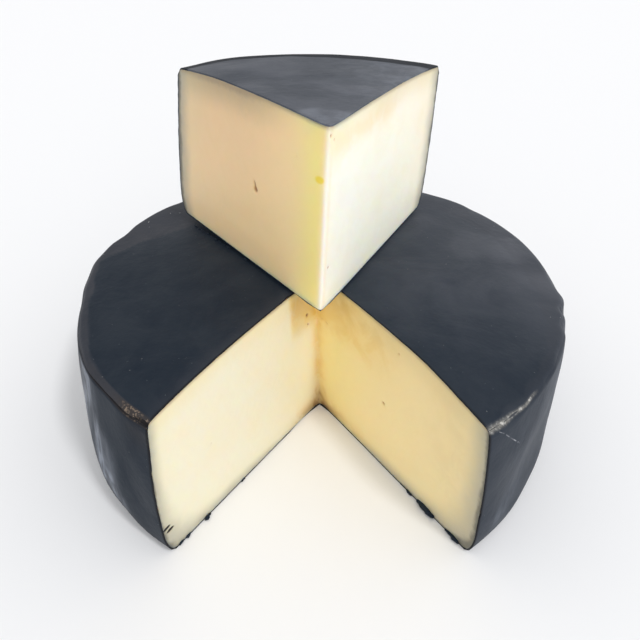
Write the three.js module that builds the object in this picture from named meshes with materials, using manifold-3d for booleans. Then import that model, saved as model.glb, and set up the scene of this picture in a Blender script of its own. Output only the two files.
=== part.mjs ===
// A small semi-hard cheese wheel in a thin black coat, cut open, with its own wedge stood on top.
// Millimetres and +Z up. The origin is on the wheel's axis, on the flat face that it rests on.
// The notch opens towards -Y. The wheel and the wedge are two parts of one cheese, so both are
// cut from the same turned solid by the same knife planes.

import * as THREE from 'three';
import { mergeVertices } from 'three/addons/utils/BufferGeometryUtils.js';
import Module from 'manifold-3d';

// The whole wheel's outline.
const RIM_RADIUS = 110;        // at the crease where the top meets the side
const RIM_HEIGHT = 74.5;       // of that crease above the base
const RIM_ROUND = 1.6;         // how far the crease is rounded, each way
const CROWN_RISE = 6;          // of the top, from the crease to the middle
const CROWN_POWER = 3;         // a higher power keeps the middle flatter
const BELLY_SWELL = 4.5;       // of the side, past the crease
const FOOT_HEIGHT = 13;        // below this height the side rounds in
const FOOT_TUCK = 4.5;         // how far it rounds in

// The applied coat, and the room that the cheese keeps inside it.
const COAT_THICKNESS = 1;
const COAT_CLEARANCE = 0.3;

// The knife cut. The two cut faces meet in a line that leans a little to one side.
const CUT_ANGLE_DEG = 69.7;    // between the two faces
const CUT_BEARING_DEG = 270.6; // middle of the notch, counted from +X
const CUT_SETBACK = 3;         // from the wheel's axis to the line where the faces meet
const CUT_LEAN = -0.03;        // sideways shift of that line for each unit of height

// The wedge, turned round and laid on the crown with its tip over the notch.
const WEDGE_OVERHANG = 29.7;   // from the wheel's axis to the wedge's tip
const WEDGE_SHIFT = -1;        // sideways place of the tip
const WEDGE_TURN_DEG = 185;    // from where it was cut
const WEDGE_TILT_DEG = 0.9;    // down towards +X
const SEAT_CLEARANCE = 0.3;    // between the wedge and the crown

// Fineness of the faceted surfaces.
const TURN_STEPS = 60;
const CROWN_STEPS = 5;
const SIDE_STEPS = 5;
const FOOT_STEPS = 4;
const ROUND_STEPS = 2;

const wasm = await Module();
wasm.setup();

// Height of the top at a distance from the axis, on a surface moved inwards by inset.
function crownHeight(radius, inset) {
  const share = radius / (RIM_RADIUS - inset);
  return RIM_HEIGHT - inset + CROWN_RISE * (1 - share ** CROWN_POWER);
}

// Radius of the side at a height: a quarter ellipse at the foot, then a slow curve in to the crease.
function sideRadius(height, inset) {
  const belly = RIM_RADIUS - inset + BELLY_SWELL;
  if (height < FOOT_HEIGHT) {
    const drop = (FOOT_HEIGHT - height) / (FOOT_HEIGHT - inset);
    return belly - FOOT_TUCK * (1 - Math.sqrt(1 - drop * drop));
  }
  const climb = (height - FOOT_HEIGHT) / (RIM_HEIGHT - inset - FOOT_HEIGHT);
  return belly - BELLY_SWELL * climb * climb;
}

// Half section of the wheel, from the axis at the base, round the rim, to the axis at the top.
function halfSection(inset) {
  const points = [new THREE.Vector2(0, inset)];
  for (let i = 0; i < FOOT_STEPS; i++) {
    const swing = (i / FOOT_STEPS) * (Math.PI / 2);
    const height = inset + (FOOT_HEIGHT - inset) * (1 - Math.cos(swing));
    points.push(new THREE.Vector2(sideRadius(height, inset), height));
  }

  const roundFrom = RIM_HEIGHT - inset - RIM_ROUND;
  for (let i = 0; i <= SIDE_STEPS; i++) {
    const height = FOOT_HEIGHT + (roundFrom - FOOT_HEIGHT) * (i / SIDE_STEPS);
    points.push(new THREE.Vector2(sideRadius(height, inset), height));
  }

  const rim = RIM_RADIUS - inset;
  const crownEdge = rim - RIM_ROUND;
  const rounding = new THREE.QuadraticBezierCurve(
    points.at(-1).clone(),
    new THREE.Vector2(rim, RIM_HEIGHT - inset),
    new THREE.Vector2(crownEdge, crownHeight(crownEdge, inset)),
  );
  points.push(...rounding.getPoints(ROUND_STEPS).slice(1));

  for (let i = 1; i <= CROWN_STEPS; i++) {
    const radius = crownEdge * (1 - i / CROWN_STEPS);
    points.push(new THREE.Vector2(radius, crownHeight(radius, inset)));
  }
  return points;
}

// A closed geometry as a manifold solid, without the triangles that collapse on the axis.
function toSolid(geometry) {
  geometry.deleteAttribute('normal');
  geometry.deleteAttribute('uv');
  const merged = mergeVertices(geometry);
  const corners = merged.index.array;
  const kept = [];
  for (let i = 0; i < corners.length; i += 3) {
    const [a, b, c] = corners.subarray(i, i + 3);
    if (a !== b && b !== c && c !== a) kept.push(a, b, c);
  }
  return new wasm.Manifold(new wasm.Mesh({
    numProp: 3,
    vertProperties: new Float32Array(merged.attributes.position.array),
    triVerts: new Uint32Array(kept),
  }));
}

function toGeometry(solid) {
  const mesh = solid.getMesh();
  const geometry = new THREE.BufferGeometry();
  geometry.setAttribute('position', new THREE.BufferAttribute(mesh.vertProperties, 3));
  geometry.setIndex(new THREE.BufferAttribute(mesh.triVerts, 1));
  return geometry;
}

// The whole, uncut wheel, with its surface moved inwards by inset.
function wholeWheel(inset) {
  const geometry = new THREE.LatheGeometry(halfSection(inset), TURN_STEPS);
  geometry.rotateX(Math.PI / 2);
  return toSolid(geometry);
}

// The sector that the knife takes out: a three-sided prism, taller and wider than the wheel,
// whose sharp edge stands in front of the wheel's axis and leans with the cut.
function cutSector() {
  const reach = 3 * (RIM_RADIUS + BELLY_SWELL);
  const height = RIM_HEIGHT + CROWN_RISE;
  const halfAngle = THREE.MathUtils.degToRad(CUT_ANGLE_DEG / 2);
  const bearing = THREE.MathUtils.degToRad(CUT_BEARING_DEG);
  const outline = new THREE.Shape([
    new THREE.Vector2(0, 0),
    new THREE.Vector2(reach * Math.cos(bearing - halfAngle), reach * Math.sin(bearing - halfAngle)),
    new THREE.Vector2(reach * Math.cos(bearing + halfAngle), reach * Math.sin(bearing + halfAngle)),
  ]);
  const geometry = new THREE.ExtrudeGeometry(outline, { depth: 3 * height, bevelEnabled: false });
  geometry.translate(0, 0, -height);
  const lean = new THREE.Matrix4().makeShear(0, 0, 0, 0, CUT_LEAN, 0);
  geometry.applyMatrix4(lean);
  geometry.translate(0, -CUT_SETBACK, 0);
  return toSolid(geometry);
}

// How far the wedge's tilted base stands above the middle of the crown where it just clears it.
function seatRise() {
  const slope = Math.tan(THREE.MathUtils.degToRad(WEDGE_TILT_DEG));
  const ratio = (slope * RIM_RADIUS) / (CROWN_POWER * CROWN_RISE);
  const touch = RIM_RADIUS * ratio ** (1 / (CROWN_POWER - 1));
  return slope * touch * (1 - 1 / CROWN_POWER);
}

const coatMaterial = () => new THREE.MeshStandardMaterial({
  color: new THREE.Color(0.06, 0.07, 0.085),
  roughness: 0.6,
  metalness: 0,
});

const pasteMaterial = () => new THREE.MeshStandardMaterial({
  color: new THREE.Color(0.83, 0.72, 0.46),
  roughness: 0.5,
  metalness: 0,
});

function piece(name, solid, material) {
  const mesh = new THREE.Mesh(toGeometry(solid), material);
  mesh.name = name;
  return mesh;
}

const sector = cutSector();
const wholePaste = wholeWheel(COAT_THICKNESS + COAT_CLEARANCE);
const wholeCoat = wholeWheel(0).subtract(wholeWheel(COAT_THICKNESS));

// The body of the cheese, where it stands.
const wheel = new THREE.Group();
wheel.add(piece('wheel_paste', wholePaste.subtract(sector), pasteMaterial()));
wheel.add(piece('wheel_coat', wholeCoat.subtract(sector), coatMaterial()));

// The wedge about its own tip, turned round, and set on the crown.
const wedge = new THREE.Group();
for (const mesh of [
  piece('wedge_paste', wholePaste.intersect(sector), pasteMaterial()),
  piece('wedge_coat', wholeCoat.intersect(sector), coatMaterial()),
]) {
  mesh.geometry.translate(0, CUT_SETBACK, 0);
  wedge.add(mesh);
}
wedge.rotation.z = THREE.MathUtils.degToRad(WEDGE_TURN_DEG);
wedge.position.set(WEDGE_SHIFT, -WEDGE_OVERHANG, 0);

const seat = new THREE.Group();
seat.rotation.y = THREE.MathUtils.degToRad(WEDGE_TILT_DEG);
seat.position.z = RIM_HEIGHT + CROWN_RISE + seatRise() + SEAT_CLEARANCE;
seat.add(wedge);

const cheese = new THREE.Group();
cheese.add(wheel, seat);

export default cheese;
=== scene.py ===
import math

import bmesh
import bpy
import numpy as np
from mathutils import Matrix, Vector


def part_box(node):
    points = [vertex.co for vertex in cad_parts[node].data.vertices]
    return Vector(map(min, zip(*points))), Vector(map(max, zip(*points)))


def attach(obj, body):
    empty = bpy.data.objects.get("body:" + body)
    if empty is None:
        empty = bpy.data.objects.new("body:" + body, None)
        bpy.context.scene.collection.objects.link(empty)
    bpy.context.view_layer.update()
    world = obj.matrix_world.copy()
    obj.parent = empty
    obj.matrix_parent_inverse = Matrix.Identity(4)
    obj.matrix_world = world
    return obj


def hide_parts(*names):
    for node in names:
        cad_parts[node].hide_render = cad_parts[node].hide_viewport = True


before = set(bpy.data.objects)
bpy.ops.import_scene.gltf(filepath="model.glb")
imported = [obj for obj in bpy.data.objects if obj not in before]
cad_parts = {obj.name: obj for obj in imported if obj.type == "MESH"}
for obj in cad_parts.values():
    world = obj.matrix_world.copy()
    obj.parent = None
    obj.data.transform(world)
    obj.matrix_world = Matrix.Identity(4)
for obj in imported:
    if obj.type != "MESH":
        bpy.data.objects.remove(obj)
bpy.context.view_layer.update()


# ------------------------------------------------------------------------------------------
# Wheel: the body of the cheese.
# A small pressed wheel of semi-hard cheese, cream to golden, close and a little translucent.
# One sector has been cut out with a long knife, so two faces meet in a crease at the root.
# ------------------------------------------------------------------------------------------

_, wheel_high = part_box("wheel_coat")
belly_radius = wheel_high[0]
wheel_height = wheel_high[2]
belly_swell = 0.0045
crown_rise = 0.006
foot_height = 0.013
foot_tuck = 0.0045
rim_radius = belly_radius - belly_swell
rim_height = wheel_height - crown_rise
rim_roll = 0.003
# A round takes this share of its radius off a square corner, from each side.
corner_share = 0.293

cut_setback = 0.003
cut_lean = -0.03
notch_left = 235.75
notch_right = 305.45
coat_thickness = 0.0007
crease_round = 0.0022
# Each bow of a cut: the cut's bearing, the turn to the way it is pushed, the push, the share lost
# at the side.
cut_bows = [(notch_right, 90, 0.0030, 0.88), (notch_left, -90, 0.0008, 0.1)]
mark_depth = 0.0009

face_columns = 186
face_rows = 126
settling_rounds = 6
merge_distance = 2e-6
touching = 1e-5
sharp_angle = math.radians(40)


def ease(value, start, end):
    """Smooth climb from 0 at start to 1 at end: 3t squared less 2t cubed of the clipped share t."""
    share = np.clip((value - start) / (end - start), 0, 1)
    return share * share * (3 - 2 * share)


def swell(value, centre, width):
    """Bell that is 1 at the centre: exp of minus the square of the distance over the width."""
    return np.exp(-((value - centre) / width) ** 2)


def turn_between(bearing, centre):
    """Signed angle in degrees from centre to bearing, from -180 to 180."""
    return (bearing - centre + 180) % 360 - 180


def waves(points, length, count, seed):
    """
    Sum of plane waves in seeded random directions, of about one wave length, over the root of twice
    their number, so it mostly stays between -1 and 1.
    """
    draw = np.random.default_rng(seed)
    ways = draw.normal(size=(3, count))
    ways *= draw.uniform(0.6, 1.6, count) / np.linalg.norm(ways, axis=0)
    shift = draw.uniform(0, 2 * math.pi, count)
    heights = np.sin(points @ ways * (2 * math.pi / length) + shift)
    return heights.sum(-1) / math.sqrt(2 * count)


def level_way(bearing):
    """Level unit vector at a bearing in degrees: its cosine, its sine, and no height."""
    angle = math.radians(bearing)
    return np.array([math.cos(angle), math.sin(angle), 0])


def crown_height(radius, inset):
    """
    Height of the top, lowered by inset: the rim's height, plus the rise times one less the cube of
    the share of the way out to the rim.
    """
    share = np.clip(radius / (rim_radius - inset), 0, 1)
    return rim_height - inset + crown_rise * (1 - share ** 3)


def side_radius(height, inset):
    """Radius of the side, less inset: a quarter ellipse up the foot, and a parabola to the rim."""
    belly = belly_radius - inset
    drop = np.clip((foot_height - height) / (foot_height - inset), 0, 1)
    climb = np.clip((height - foot_height) / (rim_height - inset - foot_height), 0, 1)
    return belly - foot_tuck * (1 - np.sqrt(1 - drop * drop)) - belly_swell * climb * climb


def wheel_form(bearing, reach, rise, inset):
    """
    Point of the whole wheel, from three shares. It starts at the leaning line where the cut faces
    meet, goes out along the bearing by the share reach of the way to the side, and up by the share
    rise of the way from the base to the crown. The height and the reach depend on each other, so
    they are settled in a few rounds. The outer surface is moved inwards by inset.
    """
    bearing, reach, rise = np.broadcast_arrays(np.radians(bearing), reach, rise)
    east, north = np.cos(bearing), np.sin(bearing)
    height = inset + rise * (rim_height - 2 * inset)
    for _ in range(settling_rounds):
        start_x, start_y = cut_lean * height, -cut_setback
        nearer = start_x * east + start_y * north
        side = side_radius(height, inset)
        distance = reach * (np.sqrt(nearer ** 2 + side ** 2 - start_x ** 2 - start_y ** 2) - nearer)
        x, y = start_x + distance * east, start_y + distance * north
        height = inset + rise * (crown_height(np.hypot(x, y), inset) - inset)
    return np.stack([x, y, height], -1)


def place_on_cheese(points):
    """
    Where points lie on the uncut cheese: bearing about the axis, radius, height, depth under the
    crown, depth under the side, distance out from the cut line, and bearing about the cut line.
    """
    x, y, height = points.T
    radius = np.hypot(x, y)
    bearing = np.degrees(np.arctan2(y, x)) % 360
    under_crown = crown_height(radius, 0) - height
    under_side = side_radius(height, 0) - radius
    line_x, line_y = x - cut_lean * height, y + cut_setback
    from_line = np.hypot(line_x, line_y)
    line_bearing = np.degrees(np.arctan2(line_y, line_x)) % 360
    return bearing, radius, height, under_crown, under_side, from_line, line_bearing


# Each lump: bearing, half width in degrees, height, half height, and how far it stands out.
rim_lumps = [
    (143, 17, 0.072, 0.030, 0.0018),
    (169, 9, 0.072, 0.016, 0.0022),
    (191, 9, 0.070, 0.020, -0.0012),
    (216, 12, 0.022, 0.018, 0.0016),
    (50, 12, 0.074, 0.025, 0.0020),
    (28, 13, 0.074, 0.022, 0.0010),
    (41, 3, 0.074, 0.006, -0.0009),
    (12, 7, 0.070, 0.020, 0.0006),
    (-7, 7, 0.056, 0.020, 0.0016),
    (-9, 1.9, 0.075, 0.006, -0.0015),
    (-4, 2.2, 0.074, 0.008, 0.0009),
    (-15, 2.4, 0.074, 0.006, -0.0010),
    (-34, 12, 0.032, 0.024, -0.0036),
    (224, 5, 0.074, 0.006, -0.0006),
]


def uneven_form(points):
    """
    The cheese as it came from the mould and the store. The rim is rolled over: each point moves in
    by the corner's share of the roll, times the cube of its nearness to the crown and its nearness
    to the side, and down likewise with the two changed over. Lumps and dents are bells by bearing
    and height. Slow waves of a fraction of a millimetre run over the whole, and more near the rim.
    """
    bearing, radius, height, under_crown, under_side, _, _ = place_on_cheese(points)
    corners = swell(turn_between(bearing, notch_left), 0, 9) + swell(turn_between(bearing, notch_right), 0, 9)
    roll = rim_roll + 0.0018 * corners
    near_crown = np.clip(1 - under_crown / roll, 0, 1)
    near_side = np.clip(1 - under_side / roll, 0, 1)
    inward = corner_share * roll * near_crown ** 3 * near_side
    downward = corner_share * roll * near_side ** 3 * near_crown
    outer = np.clip(radius / rim_radius, 0, 1) ** 4
    for at, half_width, level, half_height, stands_out in rim_lumps:
        lump = swell(turn_between(bearing, at), 0, half_width) * swell(height, level, half_height)
        inward = inward - stands_out * lump * outer
    near_rim = near_crown * near_side
    inward = inward + 0.00030 * waves(points, 0.030, 9, 5) * outer
    inward = inward + 0.00045 * waves(points, 0.016, 9, 6) * near_rim
    upper = ease(height, 0.045, 0.075)
    downward = downward - 0.0016 * swell(turn_between(bearing, 143), 0, 20) * outer * upper
    downward = downward - 0.0014 * swell(turn_between(bearing, 35), 0, 24) * outer * upper
    downward = downward + 0.00018 * waves(points, 0.045, 9, 7) * upper * ease(radius, 0.035, 0.06)
    away = points[:, :2] / np.maximum(radius, 1e-9)[:, None]
    moved = points.copy()
    moved[:, :2] -= away * inward[:, None]
    moved[:, 2] -= downward
    return moved


def off_cut(from_line, line_bearing, cut_bearing):
    """
    Distance off the plane of a cut: the distance out from the crease times the sine of the turn to
    the cut's bearing. Points on the crease's other side count as far off.
    """
    turn = np.radians(turn_between(line_bearing, cut_bearing))
    far_off = 0.1
    return np.abs(np.sin(turn)) * from_line + far_off * (np.cos(turn) < 0)


def bowed_cuts(points, home):
    """
    Push the cut faces into the cheese where the knife drifted: most at the crown, less at the side,
    and fading to nothing at the crease, the foot and 2 cm behind the face.
    """
    _, _, height, _, _, from_line, line_bearing = place_on_cheese(home)
    upward = np.clip(height / 0.075, 0, 1) * ease(from_line, 0, 0.014)
    for bearing, outward, amount, fade in cut_bows:
        share = upward * (1 - fade * ease(from_line, 0.06, 0.112))
        push = amount * share * (1 - ease(off_cut(from_line, line_bearing, bearing), 0, 0.02))
        points = points + push[:, None] * level_way(bearing + outward)
    return points


def rounded_edge(points, home, amount):
    """
    Round the edge where the two cut faces meet. The distance out from it along the middle bearing
    becomes the root of its square plus the amount's square, so it grows most at the edge itself.
    The growth fades by a bell of 2 cm to either side.
    """
    onward = level_way((notch_left + notch_right) / 2)
    start = np.stack([cut_lean * home[:, 2], np.full(len(home), -cut_setback), home[:, 2]], -1)
    along = (home - start) @ onward
    aside = (home - start) @ np.array([-onward[1], onward[0], 0])
    grow = (np.sqrt(along ** 2 + amount ** 2) - np.abs(along)) * swell(aside, 0, 0.02)
    return points + grow[:, None] * onward


def stitched_mesh(name, patches):
    """One closed mesh from grids of points: each grid gives its quads, and meeting points merge."""
    points, quads, start = [], [], 0
    for patch in patches:
        rows, columns = patch.shape[:2]
        index = start + np.arange(rows * columns).reshape(rows, columns)
        corners = (index[:-1, :-1], index[1:, :-1], index[1:, 1:], index[:-1, 1:])
        quads.append(np.stack(corners, -1).reshape(-1, 4))
        points.append(patch.reshape(-1, 3))
        start += rows * columns
    mesh = bpy.data.meshes.new(name)
    mesh.from_pydata(np.concatenate(points).tolist(), [], np.concatenate(quads).tolist())
    form = bmesh.new()
    form.from_mesh(mesh)
    bmesh.ops.remove_doubles(form, verts=form.verts, dist=merge_distance)
    bmesh.ops.recalc_face_normals(form, faces=form.faces)
    form.to_mesh(mesh)
    form.free()
    mesh.shade_smooth()
    return mesh


def mesh_points(mesh):
    """The mesh's points as an array of rows."""
    flat = np.empty(len(mesh.vertices) * 3, np.float32)
    mesh.vertices.foreach_get("co", flat)
    return flat.reshape(-1, 3).astype(float)


def note(mesh, name, values):
    """Keep one number or one vector for each point, for the material to read."""
    kind = "FLOAT" if values.ndim == 1 else "FLOAT_VECTOR"
    layer = mesh.attributes.new(name, kind, "POINT")
    layer.data.foreach_set("value" if kind == "FLOAT" else "vector", values.astype(np.float32).ravel())


def placed(name, data):
    """A new object of the given name and data, linked into the scene."""
    made = bpy.data.objects.new(name, data)
    bpy.context.scene.collection.objects.link(made)
    return made


def finished_piece(name, mesh, points, material, cad_node):
    """Put the settled points into the mesh, give the piece its finish and body, and hide the CAD part it
    stands in for.
    """
    mesh.vertices.foreach_set("co", points.astype(np.float32).ravel())
    mesh.update()
    mesh.set_sharp_from_angle(angle=sharp_angle)
    mesh.materials.append(material)
    piece = placed(name, mesh)
    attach(piece, "root")
    if cad_node:
        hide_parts(cad_node)


def cheese_patches(first, last, turn_steps):
    """
    The three surfaces that close a sector of paste: one cut face at each end, and the rest. Away
    from the cuts and their crease the paste lies up to 3 mm deeper, clear of dents in the coat.
    """
    out = np.linspace(0, 1, face_columns) ** 1.25
    up = np.linspace(0, 1, face_rows)
    reach = np.concatenate([out, np.ones(face_rows - 2), out[::-1]])
    rise = np.concatenate([np.zeros(face_columns), up[1:-1], np.ones(face_columns)])
    bearings = np.linspace(first, last, turn_steps)[:, None]
    to_cut = np.minimum(bearings - first, last - bearings)
    inset = coat_thickness + 0.003 * ease(to_cut, 0, 9) * ease(reach, 0, 0.12)[None, :]
    return [
        wheel_form(first, out[:, None], up[None, :], coat_thickness),
        wheel_form(last, out[:, None], up[None, :], coat_thickness),
        wheel_form(bearings, reach[None, :], rise[None, :], inset),
    ]


def right_cut_share(from_line, line_bearing):
    """1 on the right-hand cut, 0 on the left-hand one, and half and half along the crease."""
    to_right = np.abs(turn_between(line_bearing, notch_right))
    to_left = np.abs(turn_between(line_bearing, notch_left))
    return 0.5 + ((to_right < to_left) - 0.5) * ease(from_line, -0.001, 0.004)


def cut_marks(home, face_bearing, marks):
    """
    Small holes and nicks in a cut face. Each mark is an ellipse by its place out from the crease and
    up, its two half sizes and its tilt in degrees: the sum of bells, for the dent and for the tint.
    """
    _, _, height, _, _, from_line, line_bearing = place_on_cheese(home)
    on_face = np.abs(turn_between(line_bearing, face_bearing)) < 2
    total = np.zeros(len(home))
    for out, up, half_long, half_short, tilt, strength in marks:
        tilt = math.radians(tilt)
        along = (from_line - out) * math.cos(tilt) + (height - up) * math.sin(tilt)
        across = (height - up) * math.cos(tilt) - (from_line - out) * math.sin(tilt)
        total += strength * np.exp(-(along / half_long) ** 2 - (across / half_short) ** 2) * on_face
    return total


def dented_cuts(home, left_marks, right_marks, facing):
    """
    Sink the marks into the two faces, with the knife's faint drag as waves that fade at the edges.
    Facing is 1 for the wheel and -1 for the wedge, whose faces look the other way.
    """
    _, _, height, under_crown, under_side, from_line, line_bearing = place_on_cheese(home)
    margin = np.minimum(np.minimum(height, under_crown), np.minimum(under_side, from_line))
    drag = 0.00009 * waves(home * [0.5, 0.5, 1.6], 0.030, 9, 11) + 0.00003 * waves(home, 0.005, 12, 12)
    drag *= ease(margin, 0.001, 0.006)
    points = home
    for bearing, marks, outward in ((notch_left, left_marks, 90), (notch_right, right_marks, -90)):
        on_face = off_cut(from_line, line_bearing, bearing) < touching
        sink = np.minimum(cut_marks(home, bearing, marks), 1) * mark_depth - drag
        points = points - (sink * on_face * facing)[:, None] * level_way(bearing + outward)
    return points


def paste_notes(mesh, home, right_cut, under_crown, under_side, stain_and_shade, painted_glow, mark, crust_and_shade,
                brown_tone_and_shade=0, slit=0, nose_highlight_tint=0, crumb=0):
    """Keep the paste's own notes on the mesh: two depths in metres, and the rest as shares."""
    note(mesh, "home", home)
    for name, values in (("right_cut", right_cut), ("under_crown", under_crown), ("under_side", under_side),
                         ("stain_and_shade", stain_and_shade), ("painted_glow", painted_glow), ("mark", mark), ("crust_and_shade", crust_and_shade),
                         ("brown_tone_and_shade", brown_tone_and_shade), ("slit", slit), ("nose_highlight_tint", nose_highlight_tint), ("crumb", crumb)):
        note(mesh, name, values + np.zeros(len(home)))


def new_material(name):
    """
    A material, its shader, and short ways to build its finish: read a note, mottle or stretch a
    place, pass a value through a window, work with numbers, tint, join to the shader, and dent.
    """
    material = bpy.data.materials.new(name)
    material.use_nodes = True
    tree = material.node_tree
    shader = tree.nodes["Principled BSDF"]

    def add(kind, sockets, **settings):
        made = tree.nodes.new("ShaderNode" + kind)
        for key, value in settings.items():
            setattr(made, key, value)
        for key, value in sockets.items():
            if isinstance(value, bpy.types.NodeSocket):
                tree.links.new(value, made.inputs[key])
            else:
                made.inputs[key].default_value = value
        return made

    def read(attribute):
        made = add("Attribute", {}, attribute_name=attribute)
        return made.outputs["Vector"] if attribute == "home" else made.outputs["Fac"]

    def mottle(place, scale, detail=3, rough=0.55, bend=0.0):
        return add("TexNoise", {"Vector": place, "Scale": scale, "Detail": detail, "Roughness": rough,
                                "Distortion": bend}).outputs["Fac"]

    def stretch(place, shares):
        return add("VectorMath", {0: place, 1: shares}, operation="MULTIPLY").outputs[0]

    def window(value, start, end, low=0.0, high=1.0):
        return add("MapRange", {0: value, 1: start, 2: end, 3: low, 4: high},
                   interpolation_type="SMOOTHSTEP").outputs[0]

    def work(operation, first, second, third=0.0):
        return add("Math", {0: first, 1: second, 2: third}, operation=operation).outputs[0]

    def tint(share, base, over):
        base = base if isinstance(base, bpy.types.NodeSocket) else (*base, 1)
        over = over if isinstance(over, bpy.types.NodeSocket) else (*over, 1)
        return add("Mix", {0: share, 6: base, 7: over}, data_type="RGBA").outputs[2]

    def join(output, socket):
        tree.links.new(output, shader.inputs[socket])

    def dents(height, distance, below=None):
        sockets = {"Height": height, "Strength": 1.0, "Distance": distance}
        if below is not None:
            sockets["Normal"] = below
        return add("Bump", sockets).outputs[0]

    return material, shader, read, mottle, stretch, window, work, tint, join, dents


def paste_finish(name, lit_face_pale, shaded_face_golden, stain_and_shade, foot_rind):
    """
    Knife-cut paste. The two cuts are painted in two tones, painted light and shade: pale on the lit
    cut and golden on the cut in shade. Under the coat lies a rind, grey at the side and foot and thin
    and brown at the crown, with a broader brown crust on the right-hand cut, where painted shade also
    darkens it a long way down from the crown. Stains, painted shade and shadow, a painted glow of light
    through the paste, a painted highlight tint along the nose, and marks come from the mesh's own notes.
    """
    material, shader, read, mottle, _, window, work, tint, join, dents = new_material(name)
    home = read("home")
    broad = mottle(home, 26, 2)
    cloudy = mottle(home, 75, 3, 0.6, 0.5)
    fine = mottle(home, 240, 2)

    straw = (0.84, 0.66, 0.33)
    painted_glow_amber = (1.0, 0.79, 0.30)
    # Painted light and shade: the same paste is pale on the lit left-hand cut and golden on the right-hand
    # cut, which lies in shade.
    body = tint(read("right_cut"), lit_face_pale, shaded_face_golden)
    smaller = work("MULTIPLY", window(cloudy, 0.4, 0.75), 0.10)
    uneven = work("MULTIPLY_ADD", window(broad, 0.3, 0.75), 0.16, smaller)
    body = tint(uneven, body, straw)
    # Painted glow: amber where light shines through the paste, by the crease, along the wedge's nose and in
    # the lower part of the painted shadow patch.
    painted_glowing = work("MULTIPLY", read("painted_glow"), work("MULTIPLY_ADD", cloudy, 0.4, 0.8))
    body = tint(painted_glowing, body, painted_glow_amber)

    shade_dark_brown = (0.22, 0.095, 0.035)
    highlight_cream = (0.80, 0.77, 0.70)
    shade_dull_brown = (0.50, 0.37, 0.21)
    patchy = work("MULTIPLY_ADD", window(cloudy, 0.36, 0.62), 0.6, 0.45)
    stained = tint(work("MULTIPLY", read("stain_and_shade"), patchy), body, stain_and_shade)
    stained = tint(work("MULTIPLY", read("brown_tone_and_shade"), patchy), stained, shade_dark_brown)
    # Painted highlight: the rounded nose is tinted a greyer, more neutral cream, the colour of the highlight
    # band along it.
    stained = tint(work("MULTIPLY", read("nose_highlight_tint"), 0.75), stained, highlight_cream)
    # Painted shade: a broad dull brown darkening that reaches some 6 cm down from the crown, strongest on the
    # right-hand cuts, which lie in shade.
    painted_crown_shade = work("MULTIPLY", read("crust_and_shade"), window(read("under_crown"), 0.004, 0.062, 0.32, 0.0))
    stained = tint(painted_crown_shade, stained, shade_dull_brown)

    jitter = work("MULTIPLY_ADD", cloudy, 0.0022, work("MULTIPLY_ADD", fine, 0.0010, -0.0016))
    side_depth = work("ADD", read("under_side"), jitter)
    crown_depth = work("ADD", read("under_crown"), work("MULTIPLY", jitter, 0.5))
    crust_depth = work("ADD", read("under_crown"), work("MULTIPLY_ADD", fine, 0.0030, -0.0015))
    crusted = work("MULTIPLY", read("crust_and_shade"), window(crust_depth, 0.0002, 0.0165, 0.84, 0.0))
    darkest = work("MULTIPLY", read("crust_and_shade"), window(crust_depth, 0.0002, 0.0045, 0.62, 0.0))

    # Each layer of the rind, from the deepest to the coat: its share, and its colour.
    rinded = stained
    for share, colour in (
        (window(crown_depth, 0.0005, 0.013, 0.35, 0.0), (0.80, 0.66, 0.32)),
        (crusted, (0.42, 0.32, 0.20)),
        (darkest, (0.22, 0.17, 0.12)),
        (window(side_depth, 0.0010, 0.016, 0.32, 0.0), (0.74, 0.68, 0.42)),
        (window(side_depth, 0.0002, foot_rind, 0.85, 0.0), (0.38, 0.36, 0.29)),
        (window(crown_depth, 0.0006, 0.0028, 0.75, 0.0), (0.45, 0.33, 0.19)),
        (window(side_depth, 0.0004, 0.0018, 0.8, 0.0), (0.10, 0.095, 0.075)),
    ):
        rinded = tint(share, rinded, colour)

    hole_brown = (0.42, 0.20, 0.07)
    crumb_yellow = (0.92, 0.70, 0.09)
    slit_black = (0.010, 0.008, 0.007)
    marked = tint(window(read("mark"), 0.1, 0.8), rinded, hole_brown)
    marked = tint(window(read("crumb"), 0.2, 0.7), marked, crumb_yellow)
    marked = tint(window(read("slit"), 0.15, 0.45), marked, slit_black)
    join(marked, "Base Color")

    grain = dents(mottle(home, 700, 3), 0.00006)
    join(dents(cloudy, 0.00015, grain), "Normal")
    join(window(fine, 0.3, 0.7, 0.42, 0.58), "Roughness")
    shader.inputs["Specular IOR Level"].default_value = 0.35
    shader.inputs["Subsurface Weight"].default_value = 0.85
    shader.inputs["Subsurface Radius"].default_value = (1.0, 0.72, 0.40)
    shader.inputs["Subsurface Scale"].default_value = 0.003
    return material


# Each mark: out from the crease, up, half length, half width, tilt in degrees, strength.
wheel_left_marks = [
    (0.0084, 0.0629, 0.0009, 0.0009, 0, 1.0),
    (0.0079, 0.0572, 0.0006, 0.0008, 0, 0.7),
    (0.0777, 0.0386, 0.0008, 0.0006, 20, 0.35),
]
wheel_left_slits = [
    (0.1091, 0.0160, 0.0020, 0.0007, 172, 1.0),
    (0.1076, 0.0136, 0.0020, 0.0007, 172, 1.0),
]
wheel_right_marks = [
    (0.0492, 0.0384, 0.0012, 0.0009, -30, 0.7),
    (0.0557, 0.0717, 0.0006, 0.0006, 0, 0.6),
    (0.0066, 0.0573, 0.0016, 0.0005, -40, 0.45),
    (0.0035, 0.0585, 0.0014, 0.0005, 30, 0.35),
]

mesh = stitched_mesh("wheel_body", cheese_patches(notch_right, notch_left + 360, 41))
home = mesh_points(mesh)
_, _, height, under_crown, under_side, from_line, line_bearing = place_on_cheese(home)
right_cut = right_cut_share(from_line, line_bearing)

# Painted shade, with some stain: orange-brown along the crease where the two cuts meet, more at its foot.
root = swell(from_line, 0, 0.0045) * (0.75 + 0.60 * swell(height, 0, 0.022))
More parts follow.
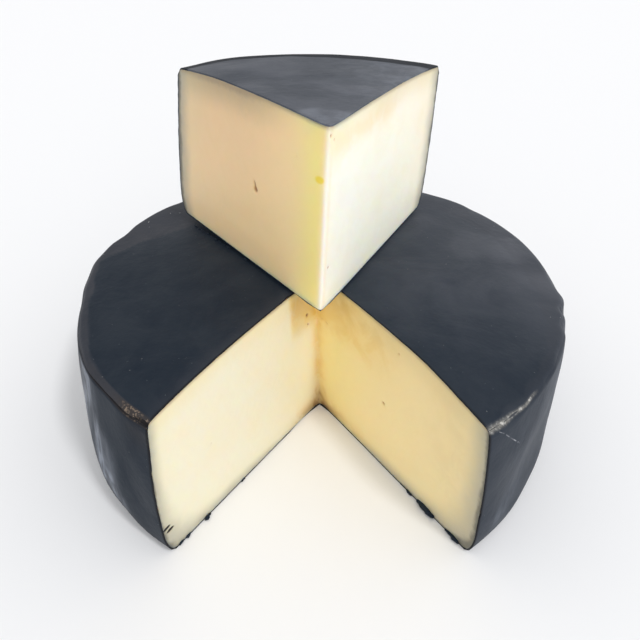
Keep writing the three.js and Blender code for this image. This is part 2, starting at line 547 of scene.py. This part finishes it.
# Painted shadow and shade: a patch at the top of each cut by the crease, under the wedge's overhanging tip,
# painted orange; on the left-hand cut it follows the tip's cast shadow.
patch_end = 0.0180 + 0.014 * right_cut
patch_foot = 0.051 - 0.004 * right_cut
root_top = ease(height, patch_foot, patch_foot + 0.013)
root_top *= 1 - ease(from_line, patch_end, patch_end + 0.003 + 0.032 * right_cut)
root_top = root_top * (0.75 + 0.5 * swell(from_line, 0.019, 0.006) * ease(height, 0.068, 0.078))
upper = ease(height, 0.060, 0.072)
shadow_patch_paint = root_top * (0.60 + 0.25 * upper + right_cut * (0.07 - 0.25 * upper))
# Painted shade: an orange-brown band along the foot of each cut near the crease, where it meets the floor,
# reaching further out on the right-hand cut.
foot_line = swell(height, 0, 0.0075) * (1 - ease(from_line, 0.015, 0.030 + 0.055 * right_cut))
# Dark brown, mostly painted shade: in the foot of the crease, in a band along the foot of the notch, and at
# the top of the right-hand cut by the crease under the wedge's tip. The right-hand cut is also darker towards
# the side.
brown_tone_and_shade = 1.25 * swell(from_line, 0, 0.0048) * swell(height, 0, 0.013)
brown_tone_and_shade = brown_tone_and_shade + 0.85 * swell(from_line, 0, 0.028) * swell(height, 0, 0.0050)
brown_tone_and_shade = brown_tone_and_shade + 0.13 * right_cut * ease(from_line, 0.06, 0.112)
brown_tone_and_shade = brown_tone_and_shade + 0.12 * right_cut * root_top * upper
# Painted glow on the left-hand cut: a little along the crease and more in the lower part of the painted
# shadow patch.
left_painted_glow = 0.2 * swell(from_line, 0, 0.03) + 0.6 * root_top * (1 - upper)
left_holes = cut_marks(home, notch_left, wheel_left_marks)
right_holes = cut_marks(home, notch_right, wheel_right_marks)

# Depth under the side and the foot together: their product over their sum, which rounds the corner.
from_side = under_side * (1.3 - 0.6 * right_cut)
from_foot = height + 0.010 * swell(from_line, 0, 0.030) + 0.0009 * (1 - right_cut)
outer_foot = (0.45 - 0.10 * right_cut) * swell(under_side, 0, 0.018) * swell(height, 0, 0.026)
under_both = (1 - outer_foot) * from_side * from_foot / (from_side + from_foot + 1e-6)

paste_notes(
    mesh, home, right_cut, under_crown, under_both,
    stain_and_shade=np.clip(0.80 * root + shadow_patch_paint + 0.7 * foot_line, 0, 1),
    painted_glow=right_cut * 0.5 * swell(from_line, 0.006, 0.03) + (1 - right_cut) * left_painted_glow,
    mark=np.clip(left_holes + right_holes, 0, 1),
    # The crust is much stronger on the right-hand cut, the cut in shade, so it carries painted shade as well.
    crust_and_shade=(0.04 + 0.22 * right_cut) * ease(from_line, 0.01, 0.05),
    brown_tone_and_shade=np.clip(brown_tone_and_shade, 0, 1),
    slit=cut_marks(home, notch_left, wheel_left_slits),
)
points = dented_cuts(home, wheel_left_marks + wheel_left_slits, wheel_right_marks, 1)
points = bowed_cuts(rounded_edge(uneven_form(points), home, crease_round), home)
# Pale for the lit cut, golden for the cut in shade: painted light and shade.
wheel_paste_finish = paste_finish(
    "wheel_paste_cut", lit_face_pale=(0.795, 0.775, 0.65), shaded_face_golden=(0.90, 0.735, 0.40),
    stain_and_shade=(0.82, 0.54, 0.14), foot_rind=0.0078,
)
finished_piece("wheel_body", mesh, points, wheel_paste_finish, "wheel_paste")


# ------------------------------------------------------------------------------------------
# Wheel: the coat.
# A thin black cheese coat brushed on the whole wheel in layers before it was cut. Its edge shows
# as a dark line at the cuts. It has a pale bloom on the side and is rubbed through at the rim.
# ------------------------------------------------------------------------------------------

base_rows = 13
side_rows = 62
top_rows = 62


def coat_patches(first, last, turn_steps, inner_steps):
    """
    The coat as a closed sheet: its outer and inner surfaces, and a strip along each cut edge. The
    rows lie closer together towards the rim, as a power of the share of the way.
    """
    under = np.linspace(0, 1, base_rows)
    up = 1 - np.linspace(1, 0, side_rows) ** 1.6
    over = 1 - np.linspace(0, 1, top_rows) ** 1.5
    reach = np.concatenate([under, np.ones(len(up) - 2), over])[None, :]
    rise = np.concatenate([np.zeros(len(under)), up[1:-1], np.ones(len(over))])[None, :]
    outer = wheel_form(np.linspace(first, last, turn_steps)[:, None], reach, rise, 0)
    inner = wheel_form(np.linspace(first, last, inner_steps)[:, None], reach, rise, coat_thickness)
    return [outer, inner, np.stack([outer[0], inner[0]]), np.stack([outer[-1], inner[-1]])]


def ragged_cut(points, home, facing, seed):
    """
    The coat's edge does not follow the knife exactly. Near each cut it moves across it by two sets
    of short waves of under a tenth of a millimetre, with a deeper nick wherever a third set peaks.
    Facing is 1 for the wheel and -1 for the wedge.
    """
    _, _, _, _, _, from_line, line_bearing = place_on_cheese(home)
    ripple = 0.00007 * waves(home, 0.007, 9, seed) + 0.00006 * waves(home, 0.0025, 9, seed + 1)
    nicks = 0.0006 * ease(waves(home, 0.009, 9, seed + 2), 0.9, 1.4)
    for bearing, outward in ((notch_left, 90), (notch_right, -90)):
        near_cut = swell(off_cut(from_line, line_bearing, bearing), 0, 0.0013)
        move = (ripple - nicks) * near_cut * ease(from_line, 0.001, 0.006)
        points = points + (move * facing)[:, None] * level_way(bearing + outward)
    return points


def coat_finish(name):
    """
    Black coat, matte, blue-grey in tone. Over it lie a dusty haze in soft strokes, which also paints
    the sheen where the coat faces the light, the rim's greyer band, a painted reflection, a pale bloom,
    which also paints some sheen, tan and pale scuffs where it is rubbed through, stray specks, the darker
    creases with painted shade and the darker cut edges, and one fine scratch.
    """
    material, shader, read, mottle, stretch, window, work, tint, join, dents = new_material(name)
    home = read("home")
    broad = mottle(home, 18, 3, 0.6, 0.6)
    cloudy = mottle(home, 60, 4, 0.62, 0.4)
    streaks = mottle(home, 28, 4, 0.55, 0.7)
    fine = mottle(home, 420, 3, 0.6)
    speckle = mottle(home, 800, 2, 0.5)

    deep_black = (0.0085, 0.0155, 0.0270)
    worn_black = (0.0160, 0.0235, 0.0350)
    haze_sheen_grey = (0.092, 0.099, 0.119)
    sheen_band_grey = (0.042, 0.045, 0.056)
    bloom_sheen_grey = (0.240, 0.265, 0.315)
    coat = tint(window(cloudy, 0.3, 0.7), deep_black, worn_black)
    haze_sheen_share = work("MULTIPLY", read("haze_and_sheen"), work("MULTIPLY_ADD", window(streaks, 0.36, 0.66), 0.44, 0.51))
    coat = tint(haze_sheen_share, coat, haze_sheen_grey)
    # Painted reflection: the greyer band where the crown slopes down to the rim, and a greyer line along the
    # top of the left-hand cut.
    sheen_band = work("MULTIPLY", read("shoulder_sheen"), work("MULTIPLY_ADD", cloudy, 0.8, 0.4))
    coat = tint(sheen_band, coat, sheen_band_grey)
    drawn = mottle(stretch(home, (1, 1, 0.22)), 190, 4, 0.6, 0.3)
    drawn_share = work("MULTIPLY", window(drawn, 0.40, 0.62), 0.6)
    patchy = work("MULTIPLY_ADD", window(cloudy, 0.34, 0.68), 0.55, drawn_share)
    # Pale bloom, with painted sheen on the wedge's top and a painted highlight along the wheel's right-hand
    # outline.
    bloom_sheen_share = work("MULTIPLY", read("bloom_and_sheen"), work("ADD", patchy, 0.18))
    coat = tint(bloom_sheen_share, coat, bloom_sheen_grey)

    rubbed_brown, rubbed_tan = (0.042, 0.036, 0.034), (0.23, 0.175, 0.13)
    scuffed_grey, scuffed_cream = (0.20, 0.195, 0.18), (0.52, 0.51, 0.48)
    fleck_grey = (0.50, 0.50, 0.50)
    edge_and_shade_black = (0.009, 0.008, 0.009)
    scratch_grey = (0.36, 0.37, 0.40)
    flecks = mottle(home, 620, 4, 0.65, 0.6)
    rubbed = work("MULTIPLY", read("rubbed"), work("MULTIPLY_ADD", window(cloudy, 0.3, 0.6), 0.4, 0.6))
    showing = work("MULTIPLY", window(flecks, 0.52, 0.64), window(read("rubbed"), 0.45, 0.9))
    coat = tint(rubbed, coat, tint(showing, rubbed_brown, rubbed_tan))
    scuffed = work("MULTIPLY", read("scuffed"), work("MULTIPLY_ADD", window(fine, 0.34, 0.50), 0.45, 0.55))
    coat = tint(scuffed, coat, tint(window(speckle, 0.46, 0.66), scuffed_grey, scuffed_cream))
    specks = work("MULTIPLY", window(speckle, 0.755, 0.79), work("MULTIPLY_ADD", read("shoulder_sheen"), 0.8, 0.25))
    coat = tint(specks, coat, fleck_grey)
    # Painted shade in the groove and on the wedge's rim band, and the dark cut edges of the coat.
    coat = tint(read("crease"), coat, edge_and_shade_black)
    scratch = window(work("ABSOLUTE", read("off_scratch"), 0.0), 0.04, 0.10, 1.0, 0.0)
    scratch = work("MULTIPLY", work("MULTIPLY", scratch, read("scratched")), window(fine, 0.42, 0.56))
    coat = tint(scratch, coat, scratch_grey)
    join(coat, "Base Color")

    pebbled = dents(fine, 0.00012)
    strokes = dents(streaks, 0.0008, pebbled)
    join(dents(work("MULTIPLY", rubbed, -1.0), 0.0003, strokes), "Normal")
    join(work("MULTIPLY_ADD", read("crease"), 0.3, window(broad, 0.3, 0.7, 0.44, 0.58)), "Roughness")
    shader.inputs["Specular IOR Level"].default_value = 0.14
    return material


def coat_notes(mesh, home, haze_and_sheen=0, bloom_and_sheen=0, rubbed=0, scuffed=0, shoulder_sheen=0, crease=0):
    """Keep the coat's own notes on the mesh, as shares from 0 to 1."""
    note(mesh, "home", home)
    for name, values in (("haze_and_sheen", haze_and_sheen), ("bloom_and_sheen", bloom_and_sheen), ("rubbed", rubbed), ("scuffed", scuffed),
                         ("shoulder_sheen", shoulder_sheen), ("crease", crease)):
        note(mesh, name, np.clip(values + np.zeros(len(home)), 0, 1))


# Each streak of bloom: bearing, half width in degrees, height, half height, strength. The streaks at
# -14 and -18 degrees also stand in for the pale highlight along the outline of the right-hand side.
bloom_and_sheen_streaks = [
    (211, 2.8, 0.0720, 0.006, 1.60), (213.5, 2.4, 0.0630, 0.007, 1.00), (209, 4, 0.0500, 0.012, 1.30),
    (215, 2.4, 0.0450, 0.010, 0.80), (218.5, 2.2, 0.0400, 0.010, 0.45), (221.8, 1.8, 0.0360, 0.009, 0.20),
    (216, 3.0, 0.0250, 0.010, 1.15), (220, 2.4, 0.0200, 0.008, 1.10), (223.7, 1.8, 0.0150, 0.006, 0.55),
    (206, 4, 0.0300, 0.020, 0.50), (196, 7, 0.0550, 0.022, 0.40), (-14, 5, 0.0450, 0.026, 0.60),
    (-40, 7, 0.040, 0.025, 0.12), (-28, 6, 0.060, 0.020, 0.16), (-48, 4, 0.016, 0.010, 0.18),
    (-18, 8, 0.045, 0.030, 0.22), (75, 30, 0.045, 0.030, 0.30), (130, 20, 0.030, 0.020, 0.25),
    (20, 16, 0.030, 0.025, 0.25), (165, 12, 0.060, 0.018, 0.30),
]
# The rim's greyer band, a painted reflection on the sloping shoulder of the crown, starts on the top
# at these radii, in millimetres, by bearing.
shoulder_bearings = [0, 27, 60, 110, 146, 157, 172, 187, 201, 212, 234, 305, 313, 332, 356, 360]
shoulder_radii = [97, 94, 91, 84, 81, 90, 106, 104.5, 105.5, 107, 108, 107, 106, 104, 99, 97]
groove_depth = 0.0006

mesh = stitched_mesh("wheel_skin", coat_patches(notch_right, notch_left + 360, 540, 60))
home = mesh_points(mesh)
bearing, radius, height, under_crown, under_side, from_line, line_bearing = place_on_cheese(home)
east, north = home[:, 0], home[:, 1]
on_top = ease(height, rim_height - 0.004, rim_height - 0.001) * (under_crown < 0.002)
on_side = 1 - on_top
inner_edge = np.interp(bearing, shoulder_bearings, shoulder_radii) / 1000
inner_edge = inner_edge + 0.0012 * waves(home, 0.02, 9, 31)
shoulder_sheen = on_top * ease(radius, inner_edge - 0.0006, inner_edge + 0.0006)
shoulder_sheen *= 1 - 0.7 * ease(east, 0.0, 0.06)

bloom_and_sheen = np.zeros(len(home))
for at, half_width, level, half_height, strength in bloom_and_sheen_streaks:
    bloom_and_sheen += strength * swell(turn_between(bearing, at), 0, half_width) * swell(height, level, half_height)
bloom_and_sheen *= ease(under_crown, 0.001, 0.004)

rim_distance = np.hypot(under_crown, under_side)
band_width = 0.0021 + 0.0004 * waves(home, 0.012, 7, 45)
left_band = on_top * (1 - ease(under_side, band_width, band_width + 0.0009))
left_band = left_band + on_side * swell(rim_distance, 0, 0.001)
rubbed = left_band * (0.25 * ease(bearing, 205, 216) + 0.85 * ease(bearing, 222, 232)) * (bearing < 300)
rubbed = rubbed + 0.40 * on_side * swell(bearing, 233, 4) * swell(under_crown, 0.006, 0.007)
pale_width = 0.0011 - 0.0006 * ease(bearing, 307.5, 313)
scuffed = swell(rim_distance, 0, pale_width) * (1 - ease(bearing, 316.5, 321)) * (bearing > 300)

# Painted shade: the groove just under the rim at the left corner is darkened as well as sunk.
groove = swell(under_crown, 0.0013, 0.0006) * ease(bearing, 198, 208) * (bearing < 240)
groove = groove * (0.8 + 0.3 * waves(home, 0.02, 5, 41))
to_left_cut = abs(turn_between(line_bearing, notch_left))
to_right_cut = abs(turn_between(line_bearing, notch_right))
at_cut = (np.minimum(to_left_cut, to_right_cut) < 0.001) & (from_line > 0.001)
left_cut_edge = swell(to_left_cut * from_line, 0, 0.25) * on_top * (from_line > 0.01)

# The scratch runs down as it goes right: its place is a share along it, and a distance off it as a
# share of 4 mm.
scratch_start, scratch_end = 306.4, 313.2
scratch_head, scratch_fall = 0.0717, 0.0139
along = (bearing - scratch_start) / (scratch_end - scratch_start)
off_scratch = np.clip((height - scratch_head + scratch_fall * along) / 0.004, -1, 1)
scratched = (along > -0.1) * (along < 1.05) * (abs(off_scratch) < 0.9)
scratched = scratched * (0.45 + 0.45 * ease(along, 0.5, 0.9))

# Painted sheen with the haze: the top is lighter to the right, at the back and at the right front corner, and
# least at the front; the side is lighter to the right, where the light falls.
haze_and_sheen = on_top * (0.03 + 0.46 * ease(east, -0.01, 0.07)) * (1 - 0.85 * ease(-north, 0.0, 0.065))
haze_and_sheen = haze_and_sheen + on_side * 0.22 * ease(east, -0.06, 0.04)
haze_and_sheen = haze_and_sheen + on_top * 0.2 * ease(north, 0.0, 0.07)
haze_and_sheen = haze_and_sheen + on_top * 0.4 * ease(east, 0.075, 0.100) * ease(north, -0.06, -0.03)
coat_notes(
    mesh, home, haze_and_sheen, bloom_and_sheen, rubbed, scuffed,
    shoulder_sheen=shoulder_sheen * 0.95 + 0.5 * left_cut_edge,
    crease=groove + 0.7 * at_cut,
)
note(mesh, "off_scratch", off_scratch)
note(mesh, "scratched", scratched)
points = uneven_form(home)
away = home[:, :2] / np.maximum(radius, 1e-9)[:, None]
points[:, :2] -= away * (groove_depth * groove * (under_side < coat_thickness / 2))[:, None]
points = bowed_cuts(rounded_edge(ragged_cut(points, home, 1, 51), home, crease_round), home)
black_coat_finish = coat_finish("black_coat")
finished_piece("wheel_skin", mesh, points, black_coat_finish, "wheel_coat")


# ------------------------------------------------------------------------------------------
# Wedge: the cheese of the cut-out sector.
# It is turned about and laid on the crown, with its tip over the notch, as the cheese is shown.
# Handling has rounded the long sharp edge between its cuts and pressed in one outer corner.
# ------------------------------------------------------------------------------------------

wedge_tip = np.array([-0.001, -0.0297, 0])
wedge_turn = math.radians(185)
wedge_tilt = math.radians(0.9)
seat_gap = 0.00066
seat_height = wheel_height + seat_gap
nose_round = 0.0018


def pressed_corner(points, home):
    """
    Move the side in near the right-hand cut, by up to 4.8 mm at the crown and little at the foot, and
    out by 1.2 mm near the left-hand cut. The rim of the crown stands 0.7 mm higher than the wheel's.
    """
    bearing, radius, height, _, _, _, _ = place_on_cheese(home)
    outer = np.clip(radius / rim_radius, 0, 1) ** 4
    press = 0.0048 * (0.12 + 0.88 * ease(height, 0.0, 0.085)) * ease(bearing, 288, 306) * outer
    press = press - 0.0012 * ease(height, 0.03, 0.08) * (1 - ease(bearing, 236, 246)) * outer
    away = home[:, :2] / np.maximum(radius, 1e-9)[:, None]
    moved = points.copy()
    moved[:, :2] -= away * press[:, None]
    moved[:, 2] += 0.0007 * outer * ease(height, 0.050, 0.078)
    return moved


def leaning_edge(points, home):
    """
    The knife leaned as it came down, so the foot of the long edge stands 2 mm further out than its
    head, and the whole edge 0.5 mm. Both fade in a straight line to the side of the cheese.
    """
    _, _, height, _, _, from_line, _ = place_on_cheese(home)
    fade = np.clip(1 - from_line / 0.105, 0, 1)[:, None]
    low = np.clip(1 - height / 0.080, 0, 1)[:, None]
    return points + fade * (low * np.array([-0.0009, 0.0020, 0]) + np.array([0, 0.0005, 0]))


def laid_on_crown(points):
    """
    Take points from where the wedge was cut to where it lies: about its own tip by the turn, out to
    the tip's place, then tilted down towards +X about the Y axis and raised to the crown.
    """
    about_tip = points + np.array([0, cut_setback, 0])
    turn_cos, turn_sin = math.cos(wedge_turn), math.sin(wedge_turn)
    lean_cos, lean_sin = math.cos(wedge_tilt), math.sin(wedge_tilt)
    spin = np.array([[turn_cos, -turn_sin, 0], [turn_sin, turn_cos, 0], [0, 0, 1]])
    lean = np.array([[lean_cos, 0, lean_sin], [0, 1, 0], [-lean_sin, 0, lean_cos]])
    return (about_tip @ spin.T + wedge_tip) @ lean.T + np.array([0, 0, seat_height])


wedge_left_marks = [
    (0.0049, 0.0199, 0.0006, 0.0006, 0, 1.0),
    (0.0015, 0.0764, 0.0006, 0.0006, 0, 0.8),
    (0.0040, 0.0744, 0.0005, 0.0005, 0, 0.7),
]
wedge_right_marks = [
    (0.0458, 0.0385, 0.0013, 0.0011, 0, 1.0),
    (0.0463, 0.0408, 0.0022, 0.0007, 78, 0.7),
    (0.0518, 0.0696, 0.0006, 0.0006, 0, 0.3),
    (0.0186, 0.0632, 0.0009, 0.0007, 0, 0.25),
]
wedge_crumb = [(0.0044, 0.0587, 0.0029, 0.0016, 170, 1.0)]

mesh = stitched_mesh("wedge_body", cheese_patches(notch_left, notch_right, 11))
home = mesh_points(mesh)
_, _, height, under_crown, under_side, from_line, line_bearing = place_on_cheese(home)
right_cut = right_cut_share(from_line, line_bearing) * ease(from_line, 0.0003, 0.0028)
under_top_edge = swell(height, 0.0715, 0.0055) * (1 - ease(from_line, 0.045, 0.070)) * (1 - right_cut)
left_holes = cut_marks(home, notch_left, wedge_left_marks)
right_holes = cut_marks(home, notch_right, wedge_right_marks)
paste_notes(
    mesh, home, right_cut, under_crown,
    under_side=np.minimum(under_side * 0.46, height + 0.0046),
    # A stain under the top edge of the lit cut, and a faint tan painted shade over the cut in shade.
    stain_and_shade=np.clip(0.35 * under_top_edge + 0.16 * right_cut * ease(from_line, 0.01, 0.04), 0, 1),
    # Painted glow along the nose of the wedge's cut in shade, where light comes through from the lit cut.
    painted_glow=right_cut * (swell(from_line, 0.002, 0.0135) + 0.12 * swell(from_line, 0.020, 0.030)),
    mark=np.clip(left_holes + right_holes, 0, 1),
    # Stronger on the right-hand cut, the cut in shade: crust and painted shade.
    crust_and_shade=(0.2 + 0.8 * right_cut) * ease(from_line, 0.012, 0.06),
    # The nose's painted highlight tint.
    nose_highlight_tint=swell(from_line, 0, 0.0028),
    crumb=cut_marks(home, notch_right, wedge_crumb),
)
points = dented_cuts(home, wedge_left_marks, wedge_right_marks, -1)
points = pressed_corner(rounded_edge(uneven_form(points), home, nose_round), home)
points = leaning_edge(points, home)
# Near white for the lit cut, tan for the cut in shade: painted light and shade.
wedge_paste_finish = paste_finish(
    "wedge_paste_cut", lit_face_pale=(1.0, 0.945, 0.83), shaded_face_golden=(0.99, 0.69, 0.41),
    stain_and_shade=(0.88, 0.68, 0.32), foot_rind=0.0062,
)
finished_piece("wedge_body", mesh, laid_on_crown(points), wedge_paste_finish, "wedge_paste")


# ------------------------------------------------------------------------------------------
# Wedge: the coat.
# The same black coat, on the wedge's top, rim and base. A paler round patch is left at the middle
# of the cheese. Its top is hazed with painted sheen, and its rim band is darker than the top, painted shade.
# ------------------------------------------------------------------------------------------

mesh = stitched_mesh("wedge_skin", coat_patches(notch_left, notch_right, 190, 14))
home = mesh_points(mesh)
_, radius, height, under_crown, under_side, _, _ = place_on_cheese(home)
on_top = ease(height, rim_height - 0.004, rim_height - 0.001) * (under_crown < 0.002)
disc = on_top * (1 - ease(radius, 0.0204, 0.0211))
band_start = 0.1000 - 0.0050 * ease(-home[:, 0], -0.02, 0.05)
band_start = band_start + 0.0008 * waves(home, 0.02, 9, 61)
inside_band = 1 - ease(radius, band_start, band_start + 0.0012)
# Painted sheen: the wedge's top inside its rim band is hazed all over, more on the central disc, for the
# sheen of a top seen at a low angle.
haze_and_sheen = on_top * (0.88 + 0.22 * disc) * inside_band + 0.1 * (1 - on_top)
near_rim = swell(under_crown, 0, 0.002) * swell(under_side, 0, 0.004)
bloom_and_sheen = disc * 0.22 + (1 - on_top) * 0.22 * swell(height, 0.045, 0.03)
# Painted sheen: the wedge's top is paler towards the right, where it catches the light.
bloom_and_sheen = bloom_and_sheen + on_top * inside_band * (0.03 + 0.24 * ease(-home[:, 0], -0.005, 0.05))
# Painted shade: the rim band outside the top's painted sheen is darkened.
shaded_rim_band = on_top * (1 - inside_band)
coat_notes(mesh, home, haze_and_sheen, bloom_and_sheen, scuffed=near_rim * 0.08, crease=0.5 * shaded_rim_band)
points = rounded_edge(ragged_cut(uneven_form(home), home, -1, 71), home, nose_round)
points = leaning_edge(pressed_corner(points, home), home)
finished_piece("wedge_skin", mesh, laid_on_crown(points), black_coat_finish, "wedge_coat")


# ------------------------------------------------------------------------------------------
# Scraps of coat.
# The knife tore flakes from the coat under the cuts. Some cling to the foot of the notch, and
# smaller crumbs lie along the wedge's lower edge, where it was set down.
# ------------------------------------------------------------------------------------------

def scrap_patch(start, end, half_width, half_height, seed):
    """
    One flake: a flat oval section carried along a slightly bent path from start to end. The half
    width and half height rise and fall as the root of a half sine, with seeded ripples on both.
    """
    along = np.linspace(0, 1, 25)[:, None]
    around = np.linspace(0, 2 * math.pi, 17)[None, :]
    draw = np.random.default_rng(seed)
    phase = draw.uniform(0, 2 * math.pi, 4)
    ragged = 1 + 0.14 * np.sin(9 * along + phase[0]) + 0.10 * np.sin(21 * along + phase[1])
    size = np.sqrt(np.sin(math.pi * along)) * ragged
    size[[0, -1]] = 0
    onward = (end - start) / np.linalg.norm(end - start)
    aside = np.array([-onward[1], onward[0], 0])
    bend = 0.25 * half_width * np.sin(5 * along + phase[2])
    ripple = 1 + 0.15 * np.sin(3 * around + phase[3] + 8 * along)
    across = size * half_width * np.cos(around) * ripple + bend
    lift = size * half_height * np.sin(around)
    path = start + along[..., None] * (end - start)
    return path + across[..., None] * aside + lift[..., None] * np.array([0, 0, 1])


def foot_place(face_bearing, inside, out, forward, height):
    """Point by a cut's foot: out from the crease along the cut, forward off it, and up."""
    return (out * level_way(face_bearing) + forward * level_way(face_bearing + inside)
            + np.array([0, -cut_setback, height]))


# Each flake: out from the crease at both ends, forward of the cut at both ends, half sizes.
right_flakes = [
    (0.0775, 0.0895, 0.0006, 0.0004, 0.0017, 0.0011),
    (0.0960, 0.1050, 0.0002, 0.0004, 0.0012, 0.0008),
    (0.0700, 0.0745, 0.0002, 0.0004, 0.0006, 0.0005),
]
left_flakes = [
    (0.0860, 0.0905, 0.0004, 0.0008, 0.0010, 0.0006),
    (0.0985, 0.1020, 0.0000, 0.0003, 0.0007, 0.0006),
    (0.1025, 0.1060, -0.0002, 0.0004, 0.0007, 0.0006),
    (0.0620, 0.0650, 0.0002, 0.0002, 0.0005, 0.0004),
]
patches = []
for face, inside, flakes, seed in ((notch_right, -90, right_flakes, 80), (notch_left, 90, left_flakes, 90)):
    for number, (out, out_end, forward, forward_end, half_width, half_height) in enumerate(flakes):
        start = foot_place(face, inside, out, forward, half_height * 1.3)
        end = foot_place(face, inside, out_end, forward_end, half_height * 1.3)
        patches.append(scrap_patch(start, end, half_width, half_height, seed + number))
mesh = stitched_mesh("foot_flakes", patches)
home = mesh_points(mesh)
coat_notes(mesh, home)
finished_piece("foot_flakes", mesh, home, black_coat_finish, None)

# Nine crumbs lie close together near the outer corner, and three further in.
draw = np.random.default_rng(17)
patches = []
for out in np.concatenate([np.linspace(0.066, 0.097, 9), [0.052, 0.040, 0.026]]):
    length = draw.uniform(0.0012, 0.0042)
    forward = draw.uniform(0.0001, 0.0006)
    half_width = draw.uniform(0.0003, 0.0008)
    start = foot_place(notch_right, 90, out, forward, 0)
    end = foot_place(notch_right, 90, out + length, forward + draw.uniform(-0.0003, 0.0006), 0)
    ends = laid_on_crown(np.array([start, end]))
    ends[:, 2] = crown_height(np.hypot(ends[:, 0], ends[:, 1]), 0) + half_width * 0.6
    patches.append(scrap_patch(ends[0], ends[1], half_width, half_width * 0.8, int(out * 10000)))
mesh = stitched_mesh("seat_crumbs", patches)
home = mesh_points(mesh)
coat_notes(mesh, home)
finished_piece("seat_crumbs", mesh, home, black_coat_finish, None)


# ------------------------------------------------------------------------------------------
# Floor, light and camera.
# A plain pale floor under a bright room, brighter low down at the right and front than overhead
# at the left. A key light stands high at the front right, and a low, broad fill light at the front.
# ------------------------------------------------------------------------------------------

floor_mesh = bpy.data.meshes.new("floor")
floor_mesh.from_pydata([(-4, -4, 0), (4, -4, 0), (4, 4, 0), (-4, 4, 0)], [], [(0, 1, 2, 3)])
floor = placed("floor", floor_mesh)
pale_floor = bpy.data.materials.new("pale_floor")
pale_floor.use_nodes = True
floor_shader = pale_floor.node_tree.nodes["Principled BSDF"]
floor_shader.inputs["Base Color"].default_value = (0.868, 0.873, 0.888, 1)
floor_shader.inputs["Roughness"].default_value = 0.9
floor_shader.inputs["Specular IOR Level"].default_value = 0.1
floor_mesh.materials.append(pale_floor)

room = bpy.data.worlds.new("room")
room.use_nodes = True
room_tree = room.node_tree
way = room_tree.nodes.new("ShaderNodeTexCoord")
bright_side = room_tree.nodes.new("ShaderNodeVectorMath")
bright_side.operation = "DOT_PRODUCT"
bright_side.inputs[1].default_value = (0.62, -0.30, -0.72)
room_tree.links.new(way.outputs["Generated"], bright_side.inputs[0])
level = room_tree.nodes.new("ShaderNodeMapRange")
level.inputs[1].default_value = -0.95
level.inputs[2].default_value = 0.60
level.inputs[3].default_value = 0.70
level.inputs[4].default_value = 1.19
room_tree.links.new(bright_side.outputs["Value"], level.inputs[0])
room_tree.links.new(level.outputs[0], room_tree.nodes["Background"].inputs["Strength"])
room_tree.nodes["Background"].inputs["Color"].default_value = (1, 1, 1, 1)
bpy.context.scene.world = room

# Each light: strength, and in degrees how wide it looks, its bearing and its height.
for name, energy, width, bearing, height in (("key", 0.92, 8, -44.5, 56), ("fill", 0.27, 50, -80, 22)):
    light = placed(name, bpy.data.lights.new(name, "SUN"))
    light.data.energy = energy
    light.data.angle = math.radians(width)
    light.rotation_euler = (math.radians(90 - height), 0, math.radians(bearing + 90))

eye = bpy.data.cameras.new("camera")
eye.sensor_width = 36
eye.lens = 36.56
camera = placed("camera", eye)
camera.location = (0, -0.2503, 0.2479)
camera.rotation_euler = (math.radians(52.069), math.radians(-0.452), math.radians(0.409))
bpy.context.scene.camera = camera
bpy.context.scene.view_settings.view_transform = "Standard"
